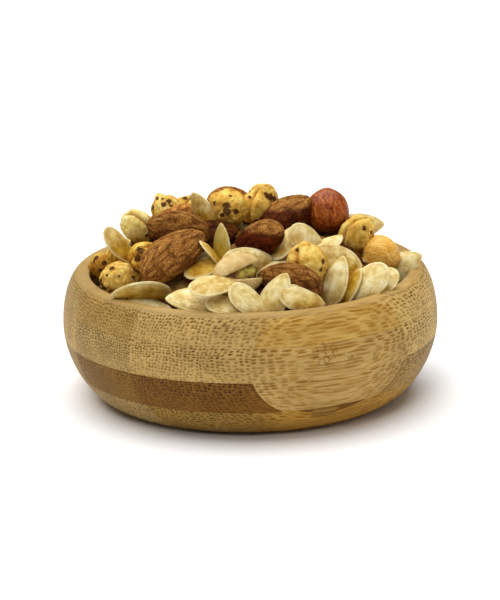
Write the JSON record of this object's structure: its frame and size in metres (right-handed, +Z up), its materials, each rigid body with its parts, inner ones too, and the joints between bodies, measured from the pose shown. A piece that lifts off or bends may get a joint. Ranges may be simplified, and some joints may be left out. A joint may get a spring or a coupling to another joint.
{
  "type": "bowl of trail mix",
  "caption": "Round turned bamboo bowl with a flat foot, heaped above its rim with almonds, hazelnuts, roasted chickpeas, a pistachio and pumpkin seeds in their shells.",
  "frame": {"origin": "on the bowl's axis, on the surface that the bowl stands on", "axes": "+Z up along the bowl's axis; -Y towards the viewer of the shown side, +X to that viewer's right"},
  "size_m": [0.12, 0.12, 0.0671],
  "materials": {
    "bamboo": "laminated bamboo, sanded and lightly oiled",
    "nut_skins": "dry roasted skins and shells, matt to satin"
  },
  "bodies": {
    "root": {"bowl": "bamboo", "trail_mix": "nut_skins"}
  },
  "joints": []
}
